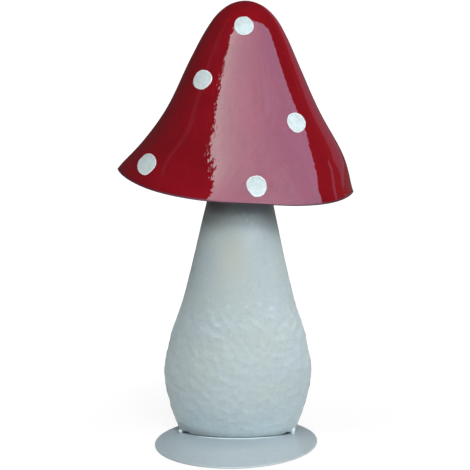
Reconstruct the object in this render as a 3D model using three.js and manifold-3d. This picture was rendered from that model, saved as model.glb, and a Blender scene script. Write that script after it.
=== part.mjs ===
// Fly agaric figurine: an open-backed half relief of pressed sheet steel on a round plate.
//
// Two shells, the stem and the cap, are pressed to a D-shaped section and cut off in one
// flat back plane. The stem stands on the plate, held by a tack weld at each back corner.
// A flat strap lies across the back edges of both shells and hangs the cap on the stem.
//
// Millimetres, +Z up, the show side faces -Y and the open back +Y. The origin is the
// middle of the plate's underside.

import * as THREE from "three";
import { mergeVertices } from "three/addons/utils/BufferGeometryUtils.js";
import Module from "manifold-3d";

const wasm = await Module();
wasm.setup();

// Sheet metal and fits
const SHEET = 1.0; // wall of both pressed shells
const GAP = 0.3; // clearance between pieces that touch
const BACK_Y = 18.4; // the plane in which both shells are cut off

// Base plate
const PLATE_RADIUS = 55;
const PLATE_THICKNESS = 1.2;
const PLATE_CHAMFER = 0.25;

// Stem: its D sections from the foot up
const FOOT_CENTRE_X = -1.0;
const STEM_LEAN = THREE.MathUtils.degToRad(2);
const FOOT = { half: 38.8, depth: 11.5 };
const TUCK = { height: 22, half: 46.0, depth: 19.5 }; // above the foot
const BELLY = { height: 46, half: 50.0, depth: 23.0 }; // its widest part
const BELLY_TOP = { height: 72, half: 45.6, depth: 22.5 };
const CONE_START = { height: 99, half: 36.9, depth: 21.0 };
const CONE_END = { height: 161, half: 22.8, depth: 20.5 }; // where the cap's rim hides it
const STEM_TOP_TAPER = 0.226; // half width lost per millimetre above the last section
const STEM_TOP_ROUNDNESS = 0.9; // depth over half width at the top end

// Cap, in its own frame: the rim lies in the plane height 0, the back plane is y = 0
const CAP_CENTRE_X = 1.8;
const RIM_HEIGHT = 178.9;
const CAP_TILT = THREE.MathUtils.degToRad(5.77); // the right side hangs lower
const CAP_HEIGHT = 122.4;
const CAP_HALF_WIDTH = 78.7;
const CAP_DEPTH = 67;
const CAP_LEFT_ANGLE = THREE.MathUtils.degToRad(78); // how far round the left side wraps
const CAP_RIGHT_ANGLE = THREE.MathUtils.degToRad(88); // and the right side
const CAP_SWELL = 5.1; // the flank is pressed out to the right by this much
const CAP_SWELL_HEIGHT = 30; // most of all at this height above the rim
const CAP_CROWN_LEAN = 0.8; // the crown leans to the left by this much
const CAP_FLARE = 1.1; // the rim's two ends turn out by this much
const CAP_FLARE_SHIFT = 0.3; // and the right one by this much more
const CAP_FLARE_HEIGHT = 12; // over about this height
// Where the press left the lower flank fuller (+) or flatter (-) than a plain bell: by how
// much, at which angle from the front, and at which height above the rim, each with its
// spread
const CAP_PRESSED = [
  { by: -4.8, angle: -22, wide: 16, height: 15, tall: 14.5 }, // the flat left of the middle
  { by: -4.8, angle: 12.5, wide: 18, height: 2, tall: 17.5 }, // the flat front of the rim
  { by: 3.7, angle: 62, wide: 31, height: 4, tall: 9 }, // the full right side
  { by: 4.3, angle: -28, wide: 22, height: -6, tall: 11.5 }, // the left side's turned-out lip
];
// The flank as shares of the cap's height and half width, from the rim to the top
const CAP_FLANK = [
  [0, 1],
  [0.164, 0.872],
  [0.409, 0.645],
  [0.654, 0.469],
  [0.818, 0.346],
  [0.916, 0.249],
  [0.977, 0.137],
  [1, 0],
];

// Strap across the back
const STRAP_HEIGHT = 26; // its middle line above the rim, in the cap's frame
const STRAP_WIDTH = 12;
const STRAP_THICKNESS = 2;
const STRAP_INSET = 0.6; // how far its ends stay inside the cap's outline
const STEM_SHORT_OF_STRAP = 2; // the stem ends this far below the strap's upper edge

// Weld beads: half sizes of each blob before its neighbours are cut out of it
const FOOT_BEAD_LEFT = new THREE.Vector3(2.6, 2.8, 2.4);
const FOOT_BEAD_RIGHT = new THREE.Vector3(2.6, 2.8, 5.6);
const FOOT_BEAD_OUT = 1.0; // how far outside the foot's corner a bead is centred
const FOOT_BEAD_FORWARD = 0.8; // how far in front of the back plane
const STRAP_BEAD = new THREE.Vector3(3.2, 2.4, 2.8);
const STRAP_BEAD_BEHIND = 0.9; // how far behind the back plane a bead is centred
const STRAP_BEAD_INWARD = 3.4; // how far inside the shell's edge

// Fineness of the meshes
const PLATE_SEGMENTS = 72;
const CAP_COLUMNS = 44;
const STEM_COLUMNS = 26;
const CAP_ROWS_PER_SECTION = 4;
const STEM_ROWS_PER_SECTION = 3;
const BEAD_COLUMNS = 14;
const BEAD_ROWS = 9;

// Paints
const redEnamel = { color: 0x8c0a14, roughness: 0.12, metalness: 0 };
const paleEnamel = { color: 0xb4bfc1, roughness: 0.45, metalness: 0 };

// Solids: joining and cutting

function toSolid(geometry) {
  const bare = geometry.clone();
  bare.deleteAttribute("normal");
  bare.deleteAttribute("uv");
  const merged = mergeVertices(bare, 1e-4);
  return new wasm.Manifold(new wasm.Mesh({
    numProp: 3,
    vertProperties: new Float32Array(merged.attributes.position.array),
    triVerts: new Uint32Array(merged.index.array),
  }));
}

function toGeometry(solid) {
  const mesh = solid.getMesh();
  const geometry = new THREE.BufferGeometry();
  geometry.setAttribute("position", new THREE.BufferAttribute(mesh.vertProperties, 3));
  geometry.setIndex(new THREE.BufferAttribute(mesh.triVerts, 1));
  return geometry;
}

function cut(geometry, ...cutters) {
  let solid = toSolid(geometry);
  for (const cutter of cutters) solid = solid.subtract(toSolid(cutter));
  return toGeometry(solid);
}

// Shells: a curved face, given as a grid of points, and a second face behind it

// The unit normal of surface(u, v), pointing out of the show side
function normalAt(surface, u, v) {
  const step = 1e-4;
  const across = surface(u + step, v).sub(surface(u - step, v));
  const up = surface(u, Math.min(v + step, 1)).sub(surface(u, Math.max(v - step, 0)));
  return across.cross(up).normalize();
}

// The point one wall behind p. On a cut edge it stays in the plane of the cut, so the
// parts of the normal that leave that plane are set to zero first.
function behind(p, normal, wall, inBackPlane, inEndPlane) {
  const along = normal.clone();
  if (inBackPlane) along.y = 0;
  if (inEndPlane) along.z = 0;
  return p.clone().addScaledVector(along, -wall / along.lengthSq());
}

// surface(u, v): u runs from the left cut edge (0) to the right one (1), v from the lower
// end (0) to the upper end (1). A closed top means that all of v = 1 is one point.
function shell(surface, columns, rows, { wall, grow = 0, closedTop = false, filled = false }) {
  const positions = [];
  const faces = [[], []];
  for (let j = 0; j <= rows; j++) {
    for (let i = 0; i <= columns; i++) {
      const top = closedTop && j === rows;
      const backEdge = i === 0 || i === columns;
      const p = surface(i / columns, j / rows);
      const normal = top ? new THREE.Vector3(0, 0, 1) : normalAt(surface, i / columns, j / rows);
      const endEdge = (j === 0 || j === rows) && !top;
      const outer = behind(p, normal, -grow, backEdge, endEdge);
      const inner = behind(p, normal, wall + grow, backEdge || top, endEdge);
      if (backEdge || top) outer.y += grow;
      if (backEdge || top) inner.y += grow;
      if (filled) inner.copy(outer).setY(BACK_Y + grow);
      for (const [side, point] of [outer, inner].entries()) {
        if (top && i > 0) {
          faces[side].push(faces[side].at(-1));
          continue;
        }
        faces[side].push(positions.length / 3);
        positions.push(point.x, point.y, point.z);
      }
    }
  }
  const index = [];
  const triangle = (a, b, c) => {
    if (a !== b && b !== c && c !== a) index.push(a, b, c);
  };
  const quad = (a, b, c, d) => {
    triangle(a, b, c);
    triangle(a, c, d);
  };
  const at = (side, i, j) => faces[side][j * (columns + 1) + i];
  for (let j = 0; j < rows; j++) {
    for (let i = 0; i < columns; i++) {
      quad(at(0, i, j), at(0, i + 1, j), at(0, i + 1, j + 1), at(0, i, j + 1));
      quad(at(1, i, j), at(1, i, j + 1), at(1, i + 1, j + 1), at(1, i + 1, j));
    }
    quad(at(0, 0, j), at(0, 0, j + 1), at(1, 0, j + 1), at(1, 0, j));
    quad(at(0, columns, j), at(1, columns, j), at(1, columns, j + 1), at(0, columns, j + 1));
  }
  for (let i = 0; i < columns; i++) {
    quad(at(0, i, 0), at(1, i, 0), at(1, i + 1, 0), at(0, i + 1, 0));
    if (!closedTop) quad(at(0, i, rows), at(0, i + 1, rows), at(1, i + 1, rows), at(1, i, rows));
  }
  const geometry = new THREE.BufferGeometry();
  geometry.setAttribute("position", new THREE.Float32BufferAttribute(positions, 3));
  geometry.setIndex(index);
  return geometry;
}

// Where along a curve of sections (half width, depth, height) a height is reached
function sectionAt(curve, height, lastShare = 1) {
  let low = 0;
  let high = lastShare;
  for (let i = 0; i < 40; i++) {
    const middle = (low + high) / 2;
    if (curve.getPoint(middle).z < height) low = middle;
    else high = middle;
  }
  return curve.getPoint(low);
}

// Cap and its strap, in the cap's frame

// The curve runs on over the top and down the other side, so that the crown closes round
const capPoints = CAP_FLANK.map(
  ([up, out]) => new THREE.Vector3(CAP_HALF_WIDTH * out, CAP_DEPTH * out, CAP_HEIGHT * up),
);
const pastTop = capPoints.at(-2).clone().multiply(new THREE.Vector3(-1, -1, 1));
const capCurve = new THREE.CatmullRomCurve3([...capPoints, pastTop], false, "centripetal");
const CAP_TOP_SHARE = (capPoints.length - 1) / capPoints.length;

// How much of the rim's flare is left at a height above the rim
function flare(height) {
  return Math.exp(-((height / CAP_FLARE_HEIGHT) ** 2));
}

// How far to the right the middle of the section lies at a height above the rim
function capMiddle(height) {
  const share = Math.max(height, 0) / CAP_SWELL_HEIGHT;
  const swell = CAP_SWELL * (share * Math.exp(1 - share)) ** 2;
  return swell + CAP_FLARE_SHIFT * flare(height) - CAP_CROWN_LEAN * (height / CAP_HEIGHT) ** 4;
}

// How far the sheet is pressed forward there; nothing at the two cut edges
function pressed(angle, edge, height) {
  let forward = 0;
  for (const dent of CAP_PRESSED) {
    const across = (THREE.MathUtils.radToDeg(angle) - dent.angle) / dent.wide;
    const up = (height - dent.height) / dent.tall;
    forward += dent.by * Math.exp(-across * across - up * up);
  }
  return forward * (1 - (angle / edge) ** 6);
}

function capSurface(u, v) {
  const { x: half, y: depth, z: height } = capCurve.getPoint(v * CAP_TOP_SHARE);
  const angle = THREE.MathUtils.lerp(-CAP_LEFT_ANGLE, CAP_RIGHT_ANGLE, u);
  const edge = angle < 0 ? CAP_LEFT_ANGLE : CAP_RIGHT_ANGLE;
  const forward = (Math.cos(angle) - Math.cos(edge)) / (1 - Math.cos(edge));
  const wide = half + CAP_FLARE * flare(height);
  return new THREE.Vector3(
    capMiddle(height) + (wide * Math.sin(angle)) / Math.sin(edge),
    -depth * forward - pressed(angle, edge, height),
    height,
  );
}

function capEdges(height) {
  const { x: half } = sectionAt(capCurve, height, CAP_TOP_SHARE);
  const wide = half + CAP_FLARE * flare(height);
  return [capMiddle(height) - wide, capMiddle(height) + wide];
}

function capShell(grow = 0) {
  const rows = CAP_ROWS_PER_SECTION * (capPoints.length - 1);
  return shell(capSurface, CAP_COLUMNS, rows, { wall: SHEET, grow, closedTop: true });
}

// A flat bar whose ends are cropped along the slope of the cap's edge
function strap(grow = 0) {
  const heights = [STRAP_HEIGHT - STRAP_WIDTH / 2, STRAP_HEIGHT + STRAP_WIDTH / 2];
  const [lower, upper] = heights.map((height, row) => {
    const [left, right] = capEdges(height);
    const z = height + (row ? grow : -grow);
    return [
      new THREE.Vector2(left + STRAP_INSET - grow, z),
      new THREE.Vector2(right - STRAP_INSET + grow, z),
    ];
  });
  const outline = new THREE.Shape([lower[0], lower[1], upper[1], upper[0]]);
  const depth = STRAP_THICKNESS + 2 * grow;
  const bar = new THREE.ExtrudeGeometry(outline, { depth, bevelEnabled: false });
  return bar.rotateX(Math.PI / 2).translate(0, GAP + STRAP_THICKNESS + grow, 0);
}

const capPlace = new THREE.Matrix4().makeRotationY(CAP_TILT);
capPlace.setPosition(CAP_CENTRE_X, BACK_Y, RIM_HEIGHT);

function fromCap(x, y, height) {
  return new THREE.Vector3(x, y, height).applyMatrix4(capPlace);
}

// Stem

const strapTop = fromCap(0, 0, STRAP_HEIGHT + STRAP_WIDTH / 2).z;
const stemTop = strapTop - STEM_SHORT_OF_STRAP;
const topHalf = CONE_END.half - STEM_TOP_TAPER * (stemTop - CONE_END.height);
const stemSections = [
  { ...FOOT, height: PLATE_THICKNESS + GAP },
  TUCK,
  BELLY,
  BELLY_TOP,
  CONE_START,
  CONE_END,
  { height: stemTop, half: topHalf, depth: STEM_TOP_ROUNDNESS * topHalf },
];
const stemCurve = new THREE.CatmullRomCurve3(
  stemSections.map(({ half, depth, height }) => new THREE.Vector3(half, depth, height)),
  false,
  "centripetal",
);

function stemMiddle(height) {
  return FOOT_CENTRE_X + height * Math.tan(STEM_LEAN);
}

// Each section is an arc of a circle over the chord between the two cut edges
function stemSurface(u, v) {
  const { x: half, y: depth, z: height } = stemCurve.getPoint(v);
  const edge = 2 * Math.atan(depth / half);
  const radius = half / Math.sin(edge);
  const angle = THREE.MathUtils.lerp(-edge, edge, u);
  return new THREE.Vector3(
    stemMiddle(height) + radius * Math.sin(angle),
    BACK_Y - radius * (Math.cos(angle) - Math.cos(edge)),
    height,
  );
}

function stemEdges(height) {
  const { x: half } = sectionAt(stemCurve, height);
  return [stemMiddle(height) - half, stemMiddle(height) + half];
}

function stemShell(options = {}) {
  const rows = STEM_ROWS_PER_SECTION * (stemSections.length - 1);
  return shell(stemSurface, STEM_COLUMNS, rows, { wall: SHEET, ...options });
}

// Plate, lathed about the upright axis

function plate() {
  const profile = [
    [0, 0],
    [PLATE_RADIUS - PLATE_CHAMFER, 0],
    [PLATE_RADIUS, PLATE_CHAMFER],
    [PLATE_RADIUS, PLATE_THICKNESS - PLATE_CHAMFER],
    [PLATE_RADIUS - PLATE_CHAMFER, PLATE_THICKNESS],
    [0, PLATE_THICKNESS],
  ].map(([x, y]) => new THREE.Vector2(x, y));
  return new THREE.LatheGeometry(profile, PLATE_SEGMENTS).rotateX(Math.PI / 2);
}

// All that lies under the plate's top face, and the gap above it
function underPlateTop() {
  const block = new THREE.BoxGeometry(2 * PLATE_RADIUS, 2 * PLATE_RADIUS, PLATE_RADIUS);
  return block.translate(0, 0, PLATE_THICKNESS + GAP - PLATE_RADIUS / 2);
}

// Weld beads: a round blob less what it clings to, with the usual gap

function bead(centre, halfSize, ...cutters) {
  const blob = new THREE.SphereGeometry(1, BEAD_COLUMNS, BEAD_ROWS).rotateX(Math.PI / 2);
  blob.scale(halfSize.x, halfSize.y, halfSize.z).translate(centre.x, centre.y, centre.z);
  return cut(blob, ...cutters);
}

function footBead(side) {
  const edges = stemEdges(PLATE_THICKNESS + GAP);
  const x = side < 0 ? edges[0] - FOOT_BEAD_OUT : edges[1] + FOOT_BEAD_OUT;
  const centre = new THREE.Vector3(x, BACK_Y - FOOT_BEAD_FORWARD, PLATE_THICKNESS);
  const halfSize = side < 0 ? FOOT_BEAD_LEFT : FOOT_BEAD_RIGHT;
  return bead(centre, halfSize, underPlateTop(), stemShell({ grow: GAP, filled: true }));
}

const strapCutter = strap(GAP).applyMatrix4(capPlace);

// On the stem's cut edge, just below the strap
function stemBead(side) {
  const strapLow = fromCap(0, 0, STRAP_HEIGHT - STRAP_WIDTH / 2);
  const edges = stemEdges(strapLow.z);
  const x = side < 0 ? edges[0] + STRAP_BEAD_INWARD : edges[1] - STRAP_BEAD_INWARD;
  const height = strapLow.z - Math.tan(CAP_TILT) * (x - strapLow.x);
  const centre = new THREE.Vector3(x, BACK_Y + STRAP_BEAD_BEHIND, height);
  return bead(centre, STRAP_BEAD, strapCutter, stemShell({ grow: GAP }));
}

// On the cap's cut edge, just below the strap's end
function capBead(side) {
  const height = STRAP_HEIGHT - STRAP_WIDTH / 2;
  const edges = capEdges(height);
  const x = side < 0 ? edges[0] + STRAP_BEAD_INWARD : edges[1] - STRAP_BEAD_INWARD;
  const centre = fromCap(x, STRAP_BEAD_BEHIND, height);
  return bead(centre, STRAP_BEAD, strapCutter, capShell(GAP).applyMatrix4(capPlace));
}

// Assembly

function piece(name, geometry, paint) {
  const mesh = new THREE.Mesh(geometry, new THREE.MeshStandardMaterial(paint));
  mesh.name = name;
  return mesh;
}

const figurine = new THREE.Group();
figurine.add(piece("base_plate", toGeometry(toSolid(plate())), paleEnamel));
figurine.add(piece("stem_shell", stemShell(), paleEnamel));

const cap = new THREE.Group();
cap.applyMatrix4(capPlace);
cap.add(piece("cap_shell", capShell(), redEnamel));
cap.add(piece("cap_strap", strap(), redEnamel));
figurine.add(cap);

for (const [side, name] of [[-1, "left"], [1, "right"]]) {
  figurine.add(piece(`foot_weld_${name}`, footBead(side), paleEnamel));
  figurine.add(piece(`stem_weld_${name}`, stemBead(side), paleEnamel));
  figurine.add(piece(`strap_weld_${name}`, capBead(side), redEnamel));
}

export default figurine;
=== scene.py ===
# %% [markdown]
# # A fly agaric of pressed sheet steel
#
# The real thing is a half relief: a red cap and a pale stem, both pressed from thin sheet
# and open at the back, welded together and to a round plate. It is painted, and five
# white dots are dabbed on by hand.
#
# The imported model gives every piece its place. Each piece is made again here with the
# detail that a press, a hammer and a brush leave behind. All sizes are in metres, in the
# model's own frame: the show side faces -Y, and the origin is under the plate's middle.

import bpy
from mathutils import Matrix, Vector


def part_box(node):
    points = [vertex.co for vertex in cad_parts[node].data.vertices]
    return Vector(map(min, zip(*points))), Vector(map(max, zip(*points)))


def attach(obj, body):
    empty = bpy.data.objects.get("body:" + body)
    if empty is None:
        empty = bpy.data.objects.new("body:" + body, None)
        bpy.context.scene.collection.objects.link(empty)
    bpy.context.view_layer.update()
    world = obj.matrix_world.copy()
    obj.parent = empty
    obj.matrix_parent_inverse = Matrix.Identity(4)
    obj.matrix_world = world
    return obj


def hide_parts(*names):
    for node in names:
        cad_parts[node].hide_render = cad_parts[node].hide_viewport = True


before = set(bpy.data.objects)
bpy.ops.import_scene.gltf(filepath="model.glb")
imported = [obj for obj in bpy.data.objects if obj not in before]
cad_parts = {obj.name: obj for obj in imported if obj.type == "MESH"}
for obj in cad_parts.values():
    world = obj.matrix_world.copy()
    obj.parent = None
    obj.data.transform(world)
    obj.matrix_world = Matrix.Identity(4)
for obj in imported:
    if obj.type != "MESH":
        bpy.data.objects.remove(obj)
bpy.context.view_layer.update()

# %% Tools and the unit
import math

import bmesh
import bpy
import numpy as np
from mathutils import Matrix, Vector

MM = 0.001
scene = bpy.context.scene


def link(thing):
    """Puts an object into the scene."""
    scene.collection.objects.link(thing)
    return thing


# %% [markdown]
# ## Camera
#
# The plate is a circle on the real object and an ellipse in the picture, so its two axes
# give the camera's height, and its size gives the distance. A long lens from two metres
# keeps the upright lines nearly parallel. The camera was held a little out of level, so
# it is turned about its own line of sight at the end. Its three axes are kept, because
# the dots and a few marks in the paint are placed by the picture.

# %% Camera
PICTURE_PIXELS = 470
PICTURE_MIDDLE = PICTURE_PIXELS / 2
FOCAL_PIXELS = 3242.8
SENSOR = 36.0
CAMERA_AT = Vector((204.5, -2085.3, 681.9)) * MM
LOOKS_AT = Vector((2.8, 0.3, 145.6)) * MM
CAMERA_ROLL = math.radians(-1.44)

camera = link(bpy.data.objects.new("camera", bpy.data.cameras.new("camera")))
camera.data.sensor_width = SENSOR
camera.data.lens = FOCAL_PIXELS * SENSOR / PICTURE_PIXELS
camera.data.clip_start = 0.1
camera.data.clip_end = 60.0
aim = (LOOKS_AT - CAMERA_AT).to_track_quat("-Z", "Y").to_matrix()
turned = aim @ Matrix.Rotation(CAMERA_ROLL, 3, "Z")
camera.matrix_world = Matrix.Translation(CAMERA_AT) @ turned.to_4x4()
picture_right, picture_up, picture_back = (axis.copy() for axis in turned.col)
scene.camera = camera
scene.view_settings.view_transform = "Standard"
print("The lens is", round(camera.data.lens, 1), "mm long")

# %% [markdown]
# ## Node trees written as sums
#
# A shader or a geometry tree is arithmetic on sockets. Placing each Math node by hand
# hides the formula, so a small class stands for a socket and takes part in sums: writing
# 1 - mask adds the Subtract node. Every other node comes from one method, which sets the
# node's settings first and then its values and links.

# %% Sockets that add up
class Wire:
    """A socket's output, which adds, subtracts, multiplies and divides as a number does."""

    def __init__(self, tree, socket):
        self.tree = tree
        self.socket = socket

    def maths(self, operation, *values):
        if any(isinstance(v, Wire) and v.socket.type in ("VECTOR", "RGBA") for v in values):
            return self.tree.vector(operation, *values)
        return self.tree.maths(operation, *values)

    def __add__(self, other):
        return self.maths("ADD", self, other)

    def __radd__(self, other):
        return self.maths("ADD", other, self)

    def __sub__(self, other):
        return self.maths("SUBTRACT", self, other)

    def __rsub__(self, other):
        return self.maths("SUBTRACT", other, self)

    def __mul__(self, other):
        return self.maths("MULTIPLY", self, other)

    def __rmul__(self, other):
        return self.maths("MULTIPLY", other, self)

    def __truediv__(self, other):
        return self.maths("DIVIDE", self, other)

    def __rtruediv__(self, other):
        return self.maths("DIVIDE", other, self)


# %% A tree that takes nodes
class Tree:
    """A node tree with one method for every kind of node, and short names for the usual ones."""

    def __init__(self, tree):
        self.tree = tree

    def node(self, kind, settings=None, values=None, out=0):
        made = self.tree.nodes.new(kind)
        for name, value in (settings or {}).items():
            if name == "stops":
                self.set_stops(made.color_ramp, value)
            else:
                setattr(made, name, value)
        for name, value in (values or {}).items():
            self.plug(value, made.inputs[name])
        return Wire(self, made.outputs[out]) if made.outputs else made

    def plug(self, value, socket):
        if isinstance(value, (list, tuple)) and value and isinstance(value[0], Wire):
            for one in value:
                self.plug(one, socket)
        elif isinstance(value, Wire):
            self.tree.links.new(value.socket, socket)
        elif socket.type == "VECTOR" and isinstance(value, (int, float)):
            socket.default_value = (value, value, value)
        else:
            socket.default_value = value

    def other(self, wire, out):
        """Another output of the node that a wire comes from."""
        return Wire(self, wire.socket.node.outputs[out])

    @staticmethod
    def set_stops(ramp, stops):
        for place, (position, colour) in enumerate(stops):
            if place < len(ramp.elements):
                ramp.elements[place].position = position
            else:
                ramp.elements.new(position)
            ramp.elements[place].color = (*colour, 1.0)

    def maths(self, operation, *values):
        return self.node("ShaderNodeMath", {"operation": operation}, dict(enumerate(values)))

    def vector(self, operation, *values, out=0):
        return self.node(
            "ShaderNodeVectorMath", {"operation": operation}, dict(enumerate(values)), out
        )

    def scaled(self, vector, factor):
        return self.node(
            "ShaderNodeVectorMath", {"operation": "SCALE"}, {0: vector, "Scale": factor}
        )

    def parts(self, vector):
        made = self.node("ShaderNodeSeparateXYZ", values={0: vector})
        return made, self.other(made, 1), self.other(made, 2)

    def point(self, x, y, z):
        return self.node("ShaderNodeCombineXYZ", values={0: x, 1: y, 2: z})

    def ramp(self, value, low, high, to_low=0.0, to_high=1.0):
        """A soft step: to_low below low, to_high above high, smooth in between."""
        return self.node(
            "ShaderNodeMapRange",
            {"interpolation_type": "SMOOTHSTEP"},
            {"Value": value, 1: low, 2: high, 3: to_low, 4: to_high},
        )

    def noise(self, vector, size, detail=2.0, roughness=0.5):
        """Noise from 0 to 1 whose blotches are about size metres across."""
        return self.node(
            "ShaderNodeTexNoise",
            values={"Vector": vector, "Scale": 1 / size, "Detail": detail, "Roughness": roughness},
        )

    def blend(self, factor, a, b):
        """A mix of two colours, which are the Mix node's inputs 6 and 7."""
        plain = [(*c, 1.0) if isinstance(c, tuple) else c for c in (a, b)]
        return self.node(
            "ShaderNodeMix",
            {"data_type": "RGBA"},
            {"Factor": factor, 6: plain[0], 7: plain[1]},
            out=2,
        )


# %% [markdown]
# ## Paper floor
#
# The object stood on white paper, in a studio that was dark further out. A lamp could
# make the paper white, but it would also light the object. So the paper glows where the
# camera sees it: white round the object, and grey far away. Close to the object the glow
# is held back a little, because at full white the soft shadow that the lamps cast would
# be lost. In reflections the white pool is smaller, as the mirrored paper under the rim
# is dim.

# %% Floor
FLOOR_HALF = 20.0
PAPER = (0.16, 0.16, 0.16, 1.0)
PAPER_GLOW = 1.0
FAR_PAPER = 0.2
ROOM_LIGHT = 0.05
POOL_EDGE = (1.45, 3.4)
GLOSSY_POOL_EDGE = (0.25, 0.6)
SHADOW_EDGE = (0.08, 0.30)
SHADOW_DEPTH = 0.12

corners = [(x * FLOOR_HALF, y * FLOOR_HALF, 0) for x, y in ((-1, -1), (1, -1), (1, 1), (-1, 1))]
floor = link(bpy.data.objects.new("floor", bpy.data.meshes.new("floor")))
floor.data.from_pydata(corners, [], [(0, 1, 2, 3)])

paper = bpy.data.materials.new("pale_paper")
paper.use_nodes = True
paper.node_tree.nodes.clear()
t = Tree(paper.node_tree)
lit = t.node("ShaderNodeBsdfDiffuse", values={"Color": PAPER})
path = t.node("ShaderNodeLightPath", out="Is Camera Ray")
seen = t.maths("MINIMUM", path + t.other(path, "Is Transmission Ray"), 1.0)
away = t.vector("LENGTH", t.node("ShaderNodeTexCoord", out="Object"), out="Value")
pool = t.ramp(away, *POOL_EDGE, PAPER_GLOW, FAR_PAPER)
held_back = t.ramp(away, *SHADOW_EDGE, SHADOW_DEPTH, 0.0)
mirrored = t.ramp(away, *GLOSSY_POOL_EDGE, PAPER_GLOW, ROOM_LIGHT)
glow = seen * (pool - held_back) + t.other(path, "Is Glossy Ray") * mirrored
glow = t.node("ShaderNodeEmission", values={"Strength": t.maths("MINIMUM", glow, PAPER_GLOW)})
both = t.node("ShaderNodeAddShader", values={0: lit, 1: glow})
t.node("ShaderNodeOutputMaterial", values={"Surface": both})
floor.data.materials.append(paper)
print("The floor is", 2 * FLOOR_HALF, "m wide")

# %% [markdown]
# ## Room and lamps
#
# The room gives hardly any light of its own, so a dim grey world is enough. Every lamp
# is a flat soft panel, and two kinds share the work. One kind only shows in reflections
# and draws what the glossy red mirrors. The other only lights matt surfaces and gives
# the shading. Plain lamps would do both at once, but then the band on the cap and the
# shading of the stem couldn't be matched one after the other.

# %% Room
world = bpy.data.worlds.new("studio")
world.use_nodes = True
world.node_tree.nodes.clear()
scene.world = world
t = Tree(world.node_tree)
shade = t.node("ShaderNodeBackground", values={"Color": (1, 1, 1, 1), "Strength": ROOM_LIGHT})
t.node("ShaderNodeOutputWorld", values={"Surface": shade})
print("The room's light is", ROOM_LIGHT, "of white")

# %% A soft lamp
NEUTRAL = (1.0, 1.0, 1.0)
TINT_FALL = (-0.1, 0.85)
FOLDS_ACROSS = (22.0, 60.0, 0.0)
UPWARDS = Vector((0, 0, 1))


def facing(azimuth):
    """The direction towards an azimuth in degrees, counted from the front to the right."""
    angle = math.radians(azimuth)
    return Vector((math.sin(angle), -math.cos(angle), 0))


def lamp(name, middle, axes, size, radiance, tints=(NEUTRAL, NEUTRAL), folds=0.0):
    """A flat soft lamp with its own axes across and up. Its two tints are those on the left
    and on the right of the picture, and folds is how much its cloth varies the light."""
    (x_axis, y_axis), (width, height) = axes, size
    made = link(bpy.data.objects.new(name, bpy.data.lights.new(name, "AREA")))
    made.data.shape = "RECTANGLE"
    made.data.size = width
    made.data.size_y = height
    made.data.energy = radiance * math.pi * width * height
    stand = Matrix((x_axis, y_axis, x_axis.cross(y_axis))).transposed()
    made.matrix_world = Matrix.Translation(middle) @ stand.to_4x4()
    made.visible_camera = False
    made.data.use_nodes = True
    made.data.node_tree.nodes.clear()
    t = Tree(made.data.node_tree)
    cloth = t.node("ShaderNodeNewGeometry", out="Parametric")
    share = t.ramp(t.parts(cloth)[0], *TINT_FALL)
    fold = t.noise(cloth * FOLDS_ACROSS, 1.0, detail=3.0) - 0.5
    light = t.node(
        "ShaderNodeEmission",
        values={"Color": t.blend(share, *tints), "Strength": 1 + fold * folds},
    )
    t.node("ShaderNodeOutputLight", values={"Surface": light})
    print(name, "is", round(width, 1), "by", round(height, 1), "m")
    return made


# %% [markdown]
# ## Soft box
#
# The broad pink band on the cap is the reflection of one very wide soft box, in front and
# to the right, so the box's four edges can be read from the band. It leans a few degrees.
# Its light fades from a neutral white on the left to a dimmer lilac on the right, and its
# cloth has faint folds, which keep the band from looking printed.

# %% The box that shows in the enamel
BOX_DISTANCE = 3.34
BOX_DIRECTION = 21.4
BOX_LEAN = math.radians(-8.3)
BOX_LEFT, BOX_RIGHT = -8.33, 6.0
BOX_LOW, BOX_HIGH = 0.46, 5.8
BOX_RADIANCE = 4.6
BOX_TINTS = ((1.13, 1.38, 1.25), (0.43, 0.56, 0.75))
BOX_FOLDS = 1.1

sideways = facing(BOX_DIRECTION + 90)
box_x = sideways * math.cos(BOX_LEAN) + UPWARDS * math.sin(BOX_LEAN)
box_y = UPWARDS * math.cos(BOX_LEAN) - sideways * math.sin(BOX_LEAN)
box_middle = facing(BOX_DIRECTION) * BOX_DISTANCE
box_middle += box_x * (BOX_LEFT + BOX_RIGHT) / 2 + box_y * (BOX_LOW + BOX_HIGH) / 2
box_size = (BOX_RIGHT - BOX_LEFT, BOX_HIGH - BOX_LOW)
box = lamp("soft_box", box_middle, (box_x, box_y), box_size, BOX_RADIANCE, BOX_TINTS, BOX_FOLDS)
box.visible_diffuse = False

# %% [markdown]
# ## Dim upright reflections
#
# The cap's steep flanks mirror what stands round the studio. The wide zone at the right
# edge is a leaning wall behind, the narrow line beside it a stand, and the faint line on
# the left another stand. Panels of light give them, three metres away, because things
# that far off only show as soft upright shapes.

# %% Dim upright reflections
UPRIGHT_DISTANCE = 3.0
UPRIGHTS = (  # name, azimuth, width, lower end, upper end, lean, radiance, tint
    ("side_wall", 148.5, 1.9, 0.0, 1.3, 35.0, 0.20, (0.8, 0.9, 1.25)),
    ("right_stand", 115.5, 0.26, 0.0, 0.91, 0.0, 0.42, (0.9, 0.85, 1.2)),
    ("left_stand", -85.0, 0.45, 0.9, 3.6, 0.0, 0.11, (1.0, 0.95, 1.0)),
)
for name, azimuth, width, low, high, lean, radiance, tint in UPRIGHTS:
    middle = facing(azimuth) * UPRIGHT_DISTANCE + UPWARDS * (low + high) / 2
    tilted = Matrix.Rotation(math.radians(lean), 3, facing(azimuth))
    axes = (tilted @ facing(azimuth + 90), tilted @ UPWARDS)
    upright = lamp(name, middle, axes, (width, high - low), radiance, (tint, tint))
    upright.visible_diffuse = False

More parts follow.
